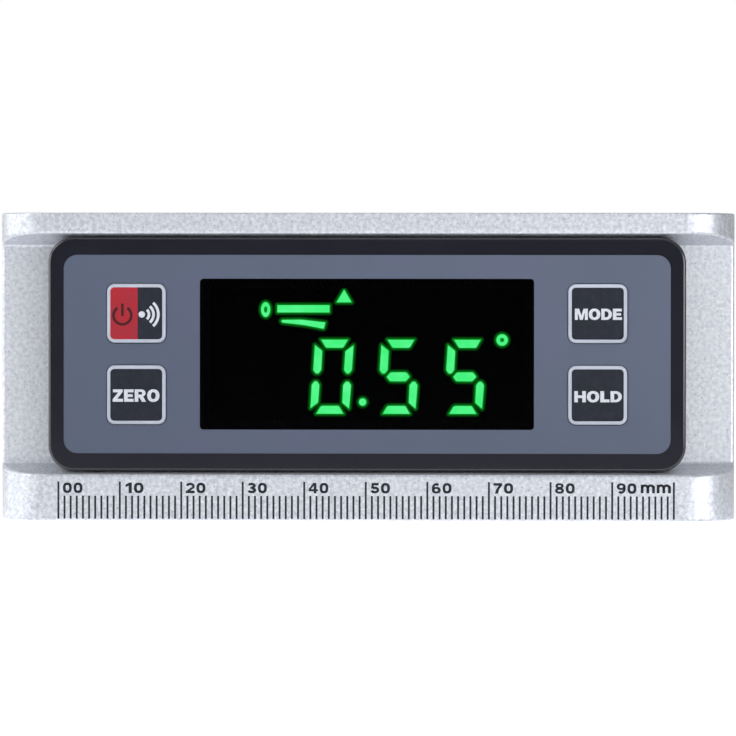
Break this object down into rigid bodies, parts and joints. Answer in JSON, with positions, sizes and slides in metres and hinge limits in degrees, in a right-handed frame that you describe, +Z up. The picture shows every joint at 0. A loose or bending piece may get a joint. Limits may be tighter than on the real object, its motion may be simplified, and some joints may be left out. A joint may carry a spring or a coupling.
{
  "type": "digital protractor",
  "caption": "Pocket digital protractor: aluminium H-section frame with grooved magnetic base and end rounds, plastic display unit with push keys, sliding battery door at the back.",
  "frame": {"origin": "middle of the base, under the centre of the object", "axes": "+X right along the rule as read, -Y towards the reader of the display, +Z up"},
  "size_m": [0.12, 0.028, 0.05],
  "materials": {
    "aluminium": "sand-blasted, clear anodised",
    "magnet": "nickel plated",
    "black_plastic": "satin moulded",
    "panel_grey": "fine grain, blue grey",
    "lens_black": "gloss black window",
    "lcd_glass": "negative display glass",
    "light_guide": "clear moulded, green lit",
    "elastomer": "striped contact rubber",
    "key_white": "satin moulded, printed face",
    "plunger_black": "moulded",
    "switch_case": "moulded with steel cover",
    "circuit_board": "green solder mask",
    "chip_black": "moulded epoxy",
    "sensor_lid": "plated can",
    "cell_jacket": "plain foil jacket",
    "contact_metal": "nickel-plated spring steel",
    "screw_steel": "black zinc"
  },
  "bodies": {
    "housing": {"frame": "aluminium", "base_magnets": "magnet", "front_bezel": "black_plastic", "label_panel": "panel_grey", "display_window": "lens_black", "lcd_panel": "lcd_glass", "lcd_holder": "black_plastic", "backlight": "light_guide", "zebra_strips": "elastomer", "key_switches": "switch_case", "main_board": "circuit_board", "controller_chip": "chip_black", "tilt_sensor": "sensor_lid", "crystal": "sensor_lid", "buzzer": "black_plastic", "rear_housing": "black_plastic", "cell_upper": "cell_jacket", "cell_lower": "cell_jacket", "battery_spring_contact": "contact_metal", "battery_button_contact": "contact_metal", "battery_link_contact": "contact_metal", "board_screws": "screw_steel", "housing_screws": "screw_steel"},
    "key_power": {"key_power": "key_white", "plunger_power": "plunger_black"},
    "key_zero": {"key_zero": "key_white", "plunger_zero": "plunger_black"},
    "key_mode": {"key_mode": "key_white", "plunger_mode": "plunger_black"},
    "key_hold": {"key_hold": "key_white", "plunger_hold": "plunger_black"},
    "battery_door": {"battery_door": "black_plastic"}
  },
  "joints": [
    {"name": "key_power_press", "type": "slide", "parent": "housing", "child": "key_power", "axis": [0, 1, 0], "range_m": [0, 0.00025], "stiffness_N_per_m": 1500, "springref_m": -0.0002},
    {"name": "key_zero_press", "type": "slide", "parent": "housing", "child": "key_zero", "axis": [0, 1, 0], "range_m": [0, 0.00025], "stiffness_N_per_m": 1500, "springref_m": -0.0002},
    {"name": "key_mode_press", "type": "slide", "parent": "housing", "child": "key_mode", "axis": [0, 1, 0], "range_m": [0, 0.00025], "stiffness_N_per_m": 1500, "springref_m": -0.0002},
    {"name": "key_hold_press", "type": "slide", "parent": "housing", "child": "key_hold", "axis": [0, 1, 0], "range_m": [0, 0.00025], "stiffness_N_per_m": 1500, "springref_m": -0.0002},
    {"name": "battery_door_slide", "type": "slide", "parent": "housing", "child": "battery_door", "axis": [1, 0, 0], "range_m": [0, 0.062]}
  ]
}
